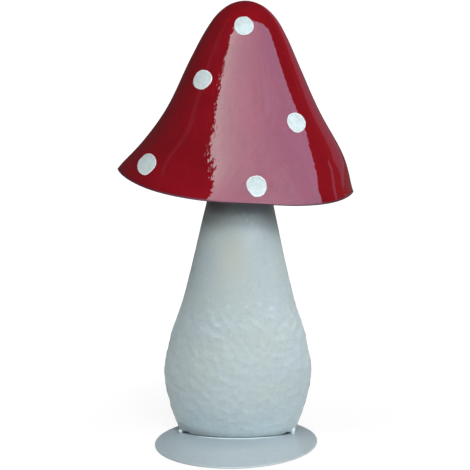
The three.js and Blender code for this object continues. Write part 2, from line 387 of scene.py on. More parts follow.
# %% [markdown]
# ## Lamps for the shading
#
# The stem's paint is lit softly from the front, a little from the right, and its edges
# are nearly as bright as its middle. The two keys are one soft panel, cut into an upper
# and a lower part so that each can have its own strength. They are low enough to reach
# under the cap's rim. Fills and back lamps on both sides lift the stem's edges, and a
# weak lamp above lights the plate.

# %% Shading lamps
SHADING_DISTANCE = 2.2
SHADING_LAMPS = (  # name, azimuth, elevation, width, height, radiance
    ("upper_key", 20.0, 34.0, 1.2, 0.26, 21.4),
    ("lower_key", 20.0, 26.0, 1.2, 0.26, 14.4),
    ("left_fill", -60.0, 40.0, 1.2, 0.45, 6.3),
    ("right_fill", 60.0, 36.0, 1.2, 0.76, 3.7),
    ("left_back", -120.0, 22.0, 1.2, 0.38, 1.6),
    ("right_back", 120.0, 22.0, 1.2, 0.38, 3.5),
    ("top", 0.0, 72.0, 1.6, 0.7, 0.55),
)
for name, azimuth, elevation, width, height, radiance in SHADING_LAMPS:
    rise = math.radians(elevation)
    direction = facing(azimuth) * math.cos(rise) + UPWARDS * math.sin(rise)
    x_axis = facing(azimuth + 90)
    axes = (x_axis, direction.cross(x_axis))
    shading = lamp(name, direction * SHADING_DISTANCE, axes, (width, height), radiance)
    shading.visible_glossy = False

# %% [markdown]
# ## Geometry trees
#
# A geometry tree is built like a shader, but it makes a mesh. It runs as a modifier: the
# named inputs are set first, the result is read off as a plain mesh, and the modifier
# goes. What stays is an ordinary object with its place in its mesh. Numbers that belong
# to single points, such as a bead's thickness, reach a tree or a material as attributes.

# %% Making and running a geometry tree
def new_tree(name, **inputs):
    """A geometry tree with named inputs, and a function that gives the wire of each."""
    group = bpy.data.node_groups.new(name, "GeometryNodeTree")
    group.interface.new_socket("Geometry", in_out="INPUT", socket_type="NodeSocketGeometry")
    for label, kind in inputs.items():
        label = label.replace("_", " ")
        group.interface.new_socket(label, in_out="INPUT", socket_type="NodeSocket" + kind)
    group.interface.new_socket("Geometry", in_out="OUTPUT", socket_type="NodeSocketGeometry")
    tree = Tree(group)
    source = group.nodes.new("NodeGroupInput")
    return tree, lambda label: Wire(tree, source.outputs[label])


def run_tree(name, tree, start, inputs):
    """Runs a tree on a start mesh and keeps the plain mesh that comes out."""
    piece = link(bpy.data.objects.new(name, start))
    modifier = piece.modifiers.new(tree.tree.name, "NODES")
    modifier.node_group = tree.tree
    for item in tree.tree.interface.items_tree:
        if item.in_out == "INPUT" and item.name in inputs:
            modifier[item.identifier] = inputs[item.name]
    graph = bpy.context.evaluated_depsgraph_get()
    made = bpy.data.meshes.new_from_object(
        piece.evaluated_get(graph), preserve_all_data_layers=True, depsgraph=graph
    )
    piece.modifiers.clear()
    piece.data = made
    print(name, "has", len(made.polygons), "faces")
    return piece


# %% Steps that the trees share
WELD_DISTANCE = 1e-6


def mark(mesh, name, values, kind="FLOAT"):
    """Writes a number, or a vector, for every point of a mesh."""
    field = "vector" if kind == "FLOAT_VECTOR" else "value"
    row = np.ravel(values).astype(np.float32)
    mesh.attributes.new(name, kind, "POINT").data.foreach_set(field, row)


def named(tree, name, kind="FLOAT"):
    """Reads an attribute that was stored under a name."""
    return tree.node("GeometryNodeInputNamedAttribute", {"data_type": kind}, {"Name": name})


def store(tree, geometry, name, value, kind="FLOAT", domain="POINT"):
    """Stores a value on every point or face under a name."""
    return tree.node(
        "GeometryNodeStoreNamedAttribute",
        {"data_type": kind, "domain": domain},
        {"Geometry": geometry, "Name": name, "Value": value},
    )


def move(tree, geometry, offset, selection=True):
    return tree.node(
        "GeometryNodeSetPosition",
        values={"Geometry": geometry, "Selection": selection, "Offset": offset},
    )


def merge(tree, geometry):
    return tree.node(
        "GeometryNodeMergeByDistance",
        values={"Geometry": geometry, "Distance": WELD_DISTANCE},
    )


def finish_tree(tree, geometry, material):
    """Smooth shading, real geometry and the material, as every tree here ends."""
    smooth = tree.node("GeometryNodeSetShadeSmooth", values={"Geometry": geometry})
    real = tree.node("GeometryNodeRealizeInstances", values={"Geometry": smooth})
    painted = tree.node("GeometryNodeSetMaterial", values={"Geometry": real, "Material": material})
    tree.node("NodeGroupOutput", values={0: painted})


# %% [markdown]
# ## Pressed shells
#
# Stem and cap are the same kind of thing: a sheet pressed to a D-shaped section that
# changes with height, cut off in one flat plane at the back. Modelling them by hand would
# lose that rule, so one tree makes both. It bends a fine grid round a flank curve, whose
# points hold half the width, the depth and the height of a section. It then hammers
# dents into the sheet and gives it a wall with rounded cut edges.

# %% The shell's named inputs and its grid
shell_tree, given = new_tree(
    "Pressed shell",
    Columns="Int",
    Rows="Int",
    Closed_Top="Float",
    Wall="Float",
    Edge_Radius="Float",
    Dent_Size="Float",
    Dent_Depth="Float",
    Dent_Top="Float",
    Dent_Fade="Float",
    Ripple_Size="Float",
    Ripple_Depth="Float",
    Wave_Size="Float",
    Wave_Depth="Float",
    Corner_Lift="Float",
    Pressed="Float",
    Set_Back="Float",
    Material="Material",
)
t = shell_tree
flank = t.node("GeometryNodeMeshToCurve", values={"Mesh": given("Geometry")})
grid = t.node(
    "GeometryNodeMeshGrid",
    values={
        "Size X": 1.0,
        "Size Y": 1.0,
        "Vertices X": given("Columns"),
        "Vertices Y": given("Rows"),
    },
)
x, y, _ = t.parts(t.node("GeometryNodeInputPosition"))
grid = store(t, grid, "across", x + 0.5)
grid = store(t, grid, "up", y + 0.5)
across = named(t, "across")
up = named(t, "up")
print("The flat grid takes", len(t.tree.nodes), "nodes")

# %% [markdown]
# ## Bending the sheet
#
# Each row of the grid becomes a D: an arc from the left cut edge over the front to the
# right one. The cap's press left broad dents and bulges, which bend the edges of its
# reflected band. Each is a soft hill at an angle and a height, added to the depth, and
# all fade out at the cut edges, which the press held. The foot's two corners lift off
# the plate beside the tack welds. Where the rim's line and the right flank lie is stored
# for the paint, because only the tree knows the angles.

# %% Bending the sheet
LIFTED_CORNERS = ((0.06, 0.045), (0.94, 0.03))
LIFT_REACH = 0.05
RIM_LINE = (0.6 * MM, 1.6 * MM)
RIGHT_FLANK = (math.radians(54.0), math.radians(72.0))
EDGE_HOLD = 6.0
CAP_PRESSED = (  # millimetres forward, at an angle, its spread, at a height, its spread
    (-4.8, -22.0, 16.0, 15.0, 14.5),
    (-4.8, 12.5, 18.0, 2.0, 17.5),
    (3.7, 62.0, 31.0, 4.0, 9.0),
    (4.3, -28.0, 22.0, -6.0, 11.5),
    (1.5, 59.7, 13.0, 38.3, 35.8),  # this row and the next are too shallow for the solids
    (-1.5, 40.3, 20.3, 41.0, 17.3),
)

turns = t.node(
    "GeometryNodeSampleCurve",
    {"mode": "FACTOR", "use_all_curves": False, "data_type": "FLOAT_VECTOR"},
    {"Curves": flank, "Value": named(t, "section", "FLOAT_VECTOR"), "Factor": up},
)
half, depth, height = t.parts(t.other(turns, "Position"))
middle, left_turn, right_turn = t.parts(turns)
angle = across * (left_turn + right_turn) - left_turn
on_right = t.maths("GREATER_THAN", angle, 0.0)
edge = left_turn + on_right * (right_turn - left_turn)
edge_cosine = t.maths("COSINE", edge)
sideways_share = t.maths("SINE", angle) / t.maths("SINE", edge)
forward_share = (t.maths("COSINE", angle) - edge_cosine) / (1 - edge_cosine)
lift = 0.0
for corner, spread in LIFTED_CORNERS:
    beside = (across - corner) / spread
    lift = lift + t.maths("EXPONENT", 0.0 - beside * beside)
lift = lift * t.ramp(up, 0.0, LIFT_REACH, 1.0, 0.0) * given("Corner Lift")
fuller = 0.0
for by, at, wide, tall_at, tall in CAP_PRESSED:
    beside = (angle - math.radians(at)) / math.radians(wide)
    above = (height - tall_at * MM) / (tall * MM)
    fuller = fuller + t.maths("EXPONENT", 0.0 - (beside * beside + above * above)) * (by * MM)
held = t.maths("POWER", t.maths("ABSOLUTE", angle / edge), EDGE_HOLD)
fuller = fuller * (1 - held) * given("Pressed")
bent = t.point(
    middle + half * sideways_share, 0.0 - depth * forward_share - fuller, height + lift
)
sheet = t.node("GeometryNodeSetPosition", values={"Geometry": grid, "Position": bent})
# Where the rim's line lies gets painted shade, and the right flank painted light, in the red enamel
sheet = store(t, sheet, "rim", t.ramp(height, *RIM_LINE, 1.0, 0.0))
sheet = store(t, sheet, "right_flank", t.ramp(angle, *RIGHT_FLANK))
sheet = merge(t, sheet)
print("The cap has", len(CAP_PRESSED), "broad dents and bulges")

# %% [markdown]
# ## Which way the sheet's thickness runs
#
# A press keeps the sheet's thickness, so the wall is the sheet moved along its normal. At
# the back and at the ends it runs within the plane of the cut instead, so that the cut
# edges stay flat, as they do when a pressed sheet is sawn off. Two directions are stored
# at each point: into the sheet, and out over the cut edge.

# %% Into the sheet, and out over its edges
AT_EDGE = 0.0005
low_end = t.maths("LESS_THAN", up, AT_EDGE)
top_end = t.maths("GREATER_THAN", up, 1 - AT_EDGE)
open_top = top_end * (1 - given("Closed Top"))
back = t.maths("LESS_THAN", across, AT_EDGE) + t.maths("GREATER_THAN", across, 1 - AT_EDGE)
back = t.maths("MINIMUM", back + top_end * given("Closed Top"), 1.0)
nx, ny, nz = t.parts(t.node("GeometryNodeInputNormal"))
along = t.point(nx, ny * (1 - back), nz * (1 - low_end - open_top))
into = t.scaled(along, -1 / t.vector("DOT_PRODUCT", along, along, out="Value"))
sheet = store(t, sheet, "into", into, "FLOAT_VECTOR")
sheet = store(t, sheet, "out", t.point(0.0, back, open_top - low_end), "FLOAT_VECTOR")
into = named(t, "into", "FLOAT_VECTOR")
out = named(t, "out", "FLOAT_VECTOR")
print("The cut edges lie within", AT_EDGE, "of the grid's sides")

# %% [markdown]
# ## Hammer marks
#
# A hammer leaves shallow bowls side by side. Voronoi cells give one bowl to each blow,
# and a noise that warps them keeps the bowls from looking like tiles. Finer ripples and
# a slow wave take the last evenness out. All of it is real depth in the mesh.

# %% Dents, ripples and waves in the sheet
BOWL_WIDTH = 0.75
BOWL_SMOOTHNESS = 0.12
WARP_SCALE = 120.0
WARP_DEPTH = 3 * MM
place = t.node("GeometryNodeInputPosition")
warp = t.node("ShaderNodeTexNoise", values={"Vector": place, "Scale": WARP_SCALE}, out="Color")
cell = t.node(
    "ShaderNodeTexVoronoi",
    {"feature": "SMOOTH_F1"},
    {
        "Vector": place + t.scaled(warp, WARP_DEPTH),
        "Scale": 1 / given("Dent Size"),
        "Smoothness": BOWL_SMOOTHNESS,
        "Randomness": 1.0,
    },
) / BOWL_WIDTH
bowl = t.maths("MAXIMUM", 1 - cell * cell, 0.0)
dents_end = given("Dent Top")
hammered = 1 - t.ramp(t.parts(place)[2], dents_end - given("Dent Fade"), dents_end)
ripple = t.noise(place, given("Ripple Size"), detail=1.0)
wave = t.noise(place, given("Wave Size"), detail=1.0)
pressed = bowl * hammered * given("Dent Depth")
pressed = pressed + ripple * given("Ripple Depth") + wave * given("Wave Depth") + given("Set Back")
sheet = move(t, sheet, t.scaled(into, pressed))
print("The hammered sheet takes", len(t.tree.nodes), "nodes so far")

# %% [markdown]
# ## Wall and rounded edges
#
# A Solidify modifier would give the wall too, but with sharp edges. Three extrusions of
# the turned-over sheet do better: the first and the last are as deep as the edge's
# rounding and step out over the cut edge and back, which leaves a small bevel.

# %% The wall and its rounded edges
rounding = given("Edge Radius")
skin = move(t, sheet, t.scaled(out, 0 - rounding))
wall = t.node("GeometryNodeFlipFaces", values={"Mesh": skin})
for inward, outward in (
    (rounding, rounding),
    (given("Wall") - 2 * rounding, 0.0),
    (rounding, 0 - rounding),
):
    wall = t.node(
        "GeometryNodeExtrudeMesh",
        values={"Mesh": wall, "Offset Scale": 0.0, "Individual": False},
    )
    moved = t.other(wall, "Top")
    wall = move(t, wall, t.scaled(into, inward) + t.scaled(out, outward), moved)
wall = store(t, wall, "inside", moved, domain="FACE")
closed = t.node("GeometryNodeJoinGeometry", values={"Geometry": [skin, wall]})
finish_tree(t, merge(t, closed), given("Material"))
print("The shell tree has", len(t.tree.nodes), "nodes")

# %% [markdown]
# ## Enamels
#
# All the paint is thick, brushed or dipped enamel over steel. Three things make it look
# real: the colour drifts a little over a few centimetres, the gloss is uneven, and the
# film has a fine orange-peel skin. All are noise on Object coordinates, which here are
# real metres. The open back was reached by less paint, so the inside is duller and
# darker, and the primer shows through it in patches.

# %% A material maker for enamel
# Dark primer inside the shells; the same colour is painted shade under the cap and on the plate
# within the foot
PRIMER_AND_SHADE = (0.16, 0.15, 0.14)
DRIFT_EDGE = (0.35, 0.65)
THIN_SIZE, THIN_EDGE = 18 * MM, (0.45, 0.62)
BARE_SHARE, THIN_SHARE = 0.25, 0.6
INSIDE_DULLNESS = 0.3
UNEVEN_FROM = (-17 * MM, -10.5 * MM)
UNEVEN_TO = (0.0, 36 * MM)


def enamel(
    name, pale, deep, drift, gloss, skins, light_index, grime, mottle=(), patches=(), tint=(1, 1, 1)
):
    """A paint. Pale and deep are the two colours that it drifts between, gloss its roughness
    from smooth to dull, and grime how much dark primer shows inside,
    which on the plate within the foot is painted shade. Skins has the size and depth of
    each layer of unevenness in its film, and the share of it that is left beside the uneven
    strip. Mottle has the size, edges, strength and colour of small blotches, and patches
    the attributes that mark where it has another colour, painted light and shade among
    them, with their strengths, colours and added roughness."""
    material = bpy.data.materials.new(name)
    material.use_nodes = True
    material.node_tree.nodes.clear()
    t = Tree(material.node_tree)
    place = t.node("ShaderNodeTexCoord", out="Object")
    cloud = t.noise(place, drift, detail=3.0, roughness=0.6)
    colour = t.blend(t.ramp(cloud, *DRIFT_EDGE), pale, deep)
    for size, low, high, strength, shade in mottle:
        blotch = t.ramp(t.noise(place, size, detail=2.0, roughness=0.6), low, high)
        colour = t.blend(blotch * strength, colour, shade)
    inside = t.node("ShaderNodeAttribute", {"attribute_name": "inside"}, out="Fac")
    thin = t.ramp(t.noise(place, THIN_SIZE, detail=5.0, roughness=0.7), *THIN_EDGE)
    colour = t.blend(inside * (BARE_SHARE + THIN_SHARE * thin) * grime, colour, PRIMER_AND_SHADE)
    low, high = gloss
    rough = low + (high - low) * t.noise(place, drift / 2, detail=3.0)
    rough = rough + inside * INSIDE_DULLNESS
    for label, strength, shade, duller in patches:
        marked = t.node("ShaderNodeAttribute", {"attribute_name": label}, out="Fac")
        colour = t.blend(marked * strength, colour, shade)
        rough = rough + marked * duller
    to_right = t.parts(place)[0]
    uneven = t.ramp(to_right, *UNEVEN_TO, 1.0, 0.0) * t.ramp(to_right, *UNEVEN_FROM)
    film = 0.0
    for size, depth, calm in skins:
        film = film + t.noise(place, size, detail=2.0) * ((calm + (1 - calm) * uneven) * depth)
    skin = t.node("ShaderNodeBump", values={"Strength": 1.0, "Distance": 1.0, "Height": film})
    shader = t.node(
        "ShaderNodeBsdfPrincipled",
        values={
            "Base Color": colour,
            "Roughness": rough,
            "IOR": light_index,
            "Specular Tint": (*tint, 1.0),
            "Normal": skin,
        },
    )
    t.node("ShaderNodeOutputMaterial", values={"Surface": shader})
    return material


# %% [markdown]
# ## Red enamel
#
# The red is a deep, glassy enamel: nearly black-red in shade, and a mirror where it
# catches the soft box. Two skins of unevenness, a coarse and a fine one, fray the edges
# of that reflection. They are strong in one upright strip, where the reflection's left
# edge lies and is frayed most, and calm elsewhere. The right flank is painted brighter,
# which is painted light, and a dull dark line is painted along the rim as painted shade
# at the cut edge.

# %% Red enamel
# Painted shade: a dull dark line along the rim
RIM_SHADE = (0.075, 0.018, 0.035)
RED_PALE = (0.245, 0.0045, 0.011)
RED_DEEP = (0.220, 0.004, 0.009)
# Painted light: the brighter red of the right flank
RED_FLANK_LIGHT = (0.310, 0.006, 0.013)
red_enamel = enamel(
    "red_enamel",
    RED_PALE,
    RED_DEEP,
    drift=22 * MM,
    gloss=(0.02, 0.045),
    skins=((3.8 * MM, 0.22 * MM, 0.2), (1.6 * MM, 0.04 * MM, 0.3)),
    light_index=1.6,
    grime=1.0,
    patches=(("right_flank", 1.0, RED_FLANK_LIGHT, 0.0), ("rim", 1.0, RIM_SHADE, 0.5)),
    tint=(1.0, 0.86, 1.0),
)
print("The red drifts between", RED_PALE, "and", RED_DEEP)

# %% [markdown]
# ## Pale enamel
#
# The pale enamel is satin and was brushed on, with bluish and greenish patches where the
# coats differ, and fine lighter and darker speckles. Where a plain drift isn't enough,
# the pieces carry marks for it: one for a yellow-green patch on the neck, one for painted
# highlights and glints, two for painted shade at the foot and under the cap, and one for
# near-black painted shadow in the open joints beside the tack welds. The plate has the
# same paint in a slightly bluer coat, with its own painted shade.

# %% Pale enamel for the stem and the plate
PALE_BLUE = (0.495, 0.598, 0.632)
PALE_GREEN = (0.515, 0.600, 0.595)
PALE_LIGHT = (0.60, 0.68, 0.69)
PALE_SHADE = (0.43, 0.50, 0.53)
# Painted highlights and glints on the stem, the foot welds and the paint line
PALE_HIGHLIGHT = (0.72, 0.86, 0.91)
PALE_WARM = (0.535, 0.598, 0.555)
FOOT_SHADE = (0.12, 0.14, 0.15)
# Painted shadow: the near black of the open joints beside the tack welds
GAP_SHADOW = (0.02, 0.023, 0.028)
PLATE_BLUE = (0.510, 0.595, 0.645)
PLATE_GREY = (0.515, 0.595, 0.630)
# Painted shade on the plate in front of the foot
PLATE_SHADE = (0.33, 0.40, 0.445)
pale_paint = {
    "gloss": (0.28, 0.45),
    "skins": ((1.2 * MM, 0.065 * MM, 1.0),),
    "light_index": 1.5,
    "mottle": (
        (3.5 * MM, 0.55, 0.75, 0.5, PALE_LIGHT),
        (5 * MM, 0.55, 0.75, 0.4, PALE_SHADE),
        (1.5 * MM, 0.50, 0.68, 0.45, PALE_LIGHT),
    ),
}
pale_enamel = enamel(
    "pale_enamel",
    PALE_BLUE,
    PALE_GREEN,
    drift=30 * MM,
    grime=0.8,
    # Besides the warm patch: painted highlights, painted shade at the foot and under the cap, and
    # painted shadow in the open joints
    patches=(
        ("warm", 1.0, PALE_WARM, 0.0),
        ("fresh", 1.0, PALE_HIGHLIGHT, 0.0),
        ("near_foot", 1.0, FOOT_SHADE, 0.1),
        ("under_cap", 0.8, PRIMER_AND_SHADE, 0.1),
        ("bare", 1.0, GAP_SHADOW, 0.3),
    ),
    **pale_paint,
)
plate_enamel = enamel(
    "plate_enamel",
    PLATE_BLUE,
    PLATE_GREY,
    drift=40 * MM,
    grime=1.5,
    patches=(("near_foot", 0.85, PLATE_SHADE, 0.1),),
    **pale_paint,
)
print("The pale paint drifts between", PALE_BLUE, "and", PALE_GREEN)

# %% [markdown]
# ## Flanks of the two shells
#
# A flank is a smooth curve through a few measured sections. A centripetal curve doesn't
# overshoot between uneven steps. Each of its points also carries where the section's
# middle lies and how far it wraps round to the left and to the right.

# %% A smooth curve through sections
FLANK_POINTS = 240


def root_distance(a, b):
    """The square root of the distance between rows, which is what centripetal means."""
    return np.sqrt(np.linalg.norm(b - a, axis=1))[:, None]


def smooth_curve(sections, last_share=1.0):
    """A centripetal Catmull-Rom curve through rows of numbers, up to a share of its steps."""
    points = np.array(sections, float)
    points = np.vstack([2 * points[0] - points[1], points, 2 * points[-1] - points[-2]])
    steps = len(points) - 3
    time = np.linspace(0, last_share, FLANK_POINTS) * steps
    first = np.minimum(time.astype(int), steps - 1)
    share = (time - first)[:, None]
    a, b, c, d = (points[first + k] for k in range(4))
    ab, bc, cd = root_distance(a, b), root_distance(b, c), root_distance(c, d)
    start = ((b - a) / ab - (c - a) / (ab + bc) + (c - b) / bc) * bc
    end = ((c - b) / bc - (d - b) / (bc + cd) + (d - c) / cd) * bc
    cubic = 2 * (b - c) + start + end
    return b + start * share + (3 * (c - b) - 2 * start - end) * share**2 + cubic * share**3


def flank_mesh(name, curve, middle, left_turn, right_turn):
    """The flank as a chain of points, for the shell tree. Lengths come in millimetres."""
    mesh = bpy.data.meshes.new(name)
    chain = [(k, k + 1) for k in range(len(curve) - 1)]
    mesh.from_pydata([tuple(p) for p in curve * MM], chain, [])
    section = np.column_stack([middle * MM, left_turn, right_turn])
    mark(mesh, "section", section, "FLOAT_VECTOR")
    return mesh


# %% [markdown]
# ## Cap
#
# The cap is a bell, cut in half. Its right side was pressed out more than its left, and
# it hangs a little lower there. It flares at the rim, and its crown leans. All of that
# is a change of the flank curve or of the sections' middles. The press left the sheet
# smooth, but the enamel pulled into fine ripples, which are in the mesh.

# %% The cap's flank
BACK_Y = 18.4
SHEET = 1.0
CAP_HEIGHT, CAP_HALF_WIDTH, CAP_DEPTH = 122.4, 78.7, 67.0
CAP_FLANK = [
    (0, 1), (0.164, 0.872), (0.409, 0.645), (0.654, 0.469),
    (0.818, 0.346), (0.916, 0.249), (0.977, 0.137), (1, 0),
]
CAP_SWELL, CAP_SWELL_HEIGHT = 5.1, 30.0
CAP_CROWN_LEAN = 0.8
CAP_FLARE, CAP_FLARE_SHIFT, CAP_FLARE_HEIGHT = 1.1, 0.3, 12.0
CAP_WRAP = (78.0, 88.0)
CAP_TILT = math.radians(5.77)
CAP_AT = Vector((1.8, BACK_Y, 178.9)) * MM

sections = [(CAP_HALF_WIDTH * out, CAP_DEPTH * out, CAP_HEIGHT * up) for up, out in CAP_FLANK]
past_top = (-sections[-2][0], -sections[-2][1], sections[-2][2])
cap_curve = smooth_curve([*sections, past_top], (len(sections) - 1) / len(sections))
cap_curve[-1, :2] = 0
swell_share = np.maximum(cap_curve[:, 2], 0) / CAP_SWELL_HEIGHT
swell = CAP_SWELL * (swell_share * np.exp(1 - swell_share)) ** 2
flare = np.exp(-((cap_curve[:, 2] / CAP_FLARE_HEIGHT) ** 2))
crown_lean = CAP_CROWN_LEAN * (cap_curve[:, 2] / CAP_HEIGHT) ** 4
cap_middle = swell + CAP_FLARE_SHIFT * flare - crown_lean
cap_curve[:, 0] += CAP_FLARE * flare
left_wrap, right_wrap = (np.full(FLANK_POINTS, math.radians(a)) for a in CAP_WRAP)
cap_place = Matrix.Translation(CAP_AT) @ Matrix.Rotation(CAP_TILT, 4, "Y")
print("The cap's flank is", len(cap_curve), "points long")

# %% Cap
CUT_ROUNDING = 0.22 * MM
cap = run_tree(
    "cap_shell_pressed",
    shell_tree,
    flank_mesh("cap_flank", cap_curve, cap_middle, left_wrap, right_wrap),
    {
        "Columns": 200,
        "Rows": 150,
        "Closed Top": 1.0,
        "Wall": SHEET * MM,
        "Edge Radius": CUT_ROUNDING,
        "Dent Size": 10 * MM,
        "Dent Depth": 0.0,
        "Dent Top": 0.0,
        "Dent Fade": 1 * MM,
        "Ripple Size": 3.5 * MM,
        "Ripple Depth": 0.03 * MM,
        "Wave Size": 16 * MM,
        "Wave Depth": 0.1 * MM,
        "Corner Lift": 0.0,
        "Pressed": 1.0,
        "Set Back": 0.04 * MM,
        "Material": red_enamel,
    },
)
cap.data.transform(cap_place)
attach(cap, "root")
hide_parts("cap_shell")

# %% [markdown]
# ## Stem
#
# The stem is a straight cone above and a hammered belly below, tucked in towards the
# foot. The hammer's marks are shallow bowls of about five millimetres that overlap. They
# fade out where the cone starts. Its top end is hidden in the cap and reaches as high as
# the solid does.

# %% The stem's flank
FOOT_X, STEM_LEAN = -1.0, math.radians(2)
FOOT_HEIGHT = 1.25
STEM_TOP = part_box("stem_shell")[1].z / MM
LAST_SECTION = (22.8, 20.5, 161.0)
TOP_TAPER, TOP_ROUNDNESS = 0.226, 0.9
top_half = LAST_SECTION[0] - TOP_TAPER * (STEM_TOP - LAST_SECTION[2])
stem_curve = smooth_curve([  # half the width, depth and height of each section
    (38.8, 11.5, FOOT_HEIGHT),
    (46.0, 19.5, 22.0),
    (50.0, 23.0, 46.0),
    (45.6, 22.5, 72.0),
    (36.9, 21.0, 99.0),
    LAST_SECTION,
    (top_half, TOP_ROUNDNESS * top_half, STEM_TOP),
])
stem_middle = FOOT_X + stem_curve[:, 2] * math.tan(STEM_LEAN)
stem_turn = 2 * np.arctan(stem_curve[:, 1] / stem_curve[:, 0])
print("The stem's top is at", round(STEM_TOP, 1), "mm")

# %% Stem
stem = run_tree(
    "stem_shell_hammered",
    shell_tree,
    flank_mesh("stem_flank", stem_curve, stem_middle, stem_turn, stem_turn),
    {
        "Columns": 140,
        "Rows": 250,
        "Closed Top": 0.0,
        "Wall": SHEET * MM,
        "Edge Radius": CUT_ROUNDING,
        "Dent Size": 5.5 * MM,
        "Dent Depth": 0.34 * MM,
        "Dent Top": 112 * MM,
        "Dent Fade": 30 * MM,
        "Ripple Size": 6 * MM,
        "Ripple Depth": 0.06 * MM,
        "Wave Size": 22 * MM,
        "Wave Depth": 0.5 * MM,
        "Corner Lift": 1.5 * MM,
        "Pressed": 0.0,
        "Set Back": -0.45 * MM,
        "Material": pale_enamel,
    },
)
stem.data.transform(Matrix.Translation((0, BACK_Y * MM, 0)))

# %% [markdown]
# ## Marks on the stem's paint
#
# The foot is painted darker, more at its left corner, and so is the top under the cap:
# both are painted shade, in the crease at the foot and under the cap's rim. A yellow-green
# patch sits on the neck, and a paler patch and small light spots are painted highlights.
# Their places are given in the picture, so each point of the mesh is looked up there
# through the camera, once. What stays is an attribute on the points.

# %% Where the stem's paint changes
# Painted shade at the foot, more at its left corner, and under the cap's rim
# Two polynomials of the place along the foot, from -1 at its left corner to 1 at its right
FOOT_SHADE_STRENGTH = (0.42, -0.25, 0.5)
FOOT_SHADE_HEIGHT = (4.0, -1.0, 2.0)
MOST_FOOT_SHADE = 0.8
UNDER_CAP_SHADE = (157.0, 164.0)
STEM_MARKS = (  # kind, across and down in the picture, half width, half height, strength
    ("warm", 232.0, 258.0, 15.0, 24.0, 1.0),
    # The paler patch and the small spots below are painted highlights: glints under the rim and on
    # the first dents
    ("fresh", 251.0, 232.0, 10.0, 18.0, 0.35),
    ("fresh", 237.5, 216.0, 1.5, 1.5, 0.6),
    ("fresh", 244.5, 214.2, 1.7, 1.5, 0.7),
    ("fresh", 253.0, 216.0, 1.5, 1.5, 0.6),
    ("fresh", 247.0, 219.5, 1.6, 1.6, 0.4),
    ("fresh", 251.5, 223.5, 1.8, 2.2, 0.4),
    ("fresh", 228.5, 306.7, 1.8, 1.4, 0.4),
    ("fresh", 246.7, 306.5, 1.8, 1.4, 0.4),
    ("fresh", 260.0, 304.0, 1.8, 1.5, 0.5),
    ("fresh", 271.5, 308.5, 2.2, 1.8, 0.6),
)


def in_picture(points):
    """Where points in metres fall in the picture, across and down in pixels."""
    seen = points - np.array(CAMERA_AT)
    far = -(seen @ np.array(picture_back))
    across = PICTURE_MIDDLE + FOCAL_PIXELS * (seen @ np.array(picture_right)) / far
    down = PICTURE_MIDDLE - FOCAL_PIXELS * (seen @ np.array(picture_up)) / far
    return across, down


stem_points = np.array([point.co for point in stem.data.vertices])
across_to, down_to = in_picture(stem_points)
heights = stem_points[:, 2] / MM - FOOT_HEIGHT
side = (stem_points[:, 0] / MM - FOOT_X) / stem_curve[0, 0]
polynomial = np.polynomial.polynomial.polyval
painted_shade, reach = polynomial(side, FOOT_SHADE_STRENGTH), polynomial(side, FOOT_SHADE_HEIGHT)
marks = {
    "near_foot": np.minimum(painted_shade, MOST_FOOT_SHADE) * np.exp(-((heights / reach) ** 2)),
    "under_cap": np.interp(heights, UNDER_CAP_SHADE, (0, 1)),
    "warm": np.zeros(len(heights)),
    "fresh": np.zeros(len(heights)),
}
for kind, across, down, wide, high, strength in STEM_MARKS:
    beside = ((across_to - across) / wide) ** 2 + ((down_to - down) / high) ** 2
    marks[kind] = np.minimum(marks[kind] + strength * np.exp(-beside), 1.0)
for kind, values in marks.items():
    mark(stem.data, kind, values)
print("The stem carries the marks", *marks)

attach(stem, "root")
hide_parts("stem_shell")

# %% [markdown]
# ## White dots
#
# The dots are brush dabs of thick white enamel. A dab is thin in the middle, where the
# brush stood, and has a raised rim where the paint ran out to the edge. Cutting discs
# out of the cap would miss that rim. Instead, a polar grid is instanced at each of five
# points and laid onto the cap by rays from the front, as a projector would, so each dab
# follows the sheet. It is then given its thickness and an underside within the sheet.

# %% The tree for paint dabs
dab_tree, given = new_tree(
    "Paint dabs",
    Cap="Object",
    Segments="Int",
    Rings="Int",
    Eye="Vector",
    Right="Vector",
    Up="Vector",
    Thickness="Float",
    Rim_Height="Float",
    Sunk="Float",
    Wobble="Float",
    Material="Material",
)
t = dab_tree
grid = t.node(
    "GeometryNodeMeshGrid",
    values={
        "Size X": 1.0,
        "Size Y": 1.0,
        "Vertices X": given("Segments"),
        "Vertices Y": given("Rings"),
    },
)
x, y, _ = t.parts(t.node("GeometryNodeInputPosition"))
grid = store(t, grid, "around", x + 0.5)
grid = store(t, grid, "spread", y + 0.5)
start = t.node("GeometryNodeInputPosition")
spots = store(t, given("Geometry"), "middle", start, "FLOAT_VECTOR")
dabs = t.node("GeometryNodeInstanceOnPoints", values={"Points": spots, "Instance": grid})
dabs = t.node("GeometryNodeRealizeInstances", values={"Geometry": dabs})
print("The dabs' grids take", len(t.tree.nodes), "nodes")

# %% [markdown]
# ## Laying the dabs onto the cap
#
# No brushed dot is round. A noise moves each dab's outline in and out, taken from a far
# part of the noise for each dab, so that no two are alike, and an egg share leans it.
# Then a ray from the eye through each point of the grid finds its place on the cap.

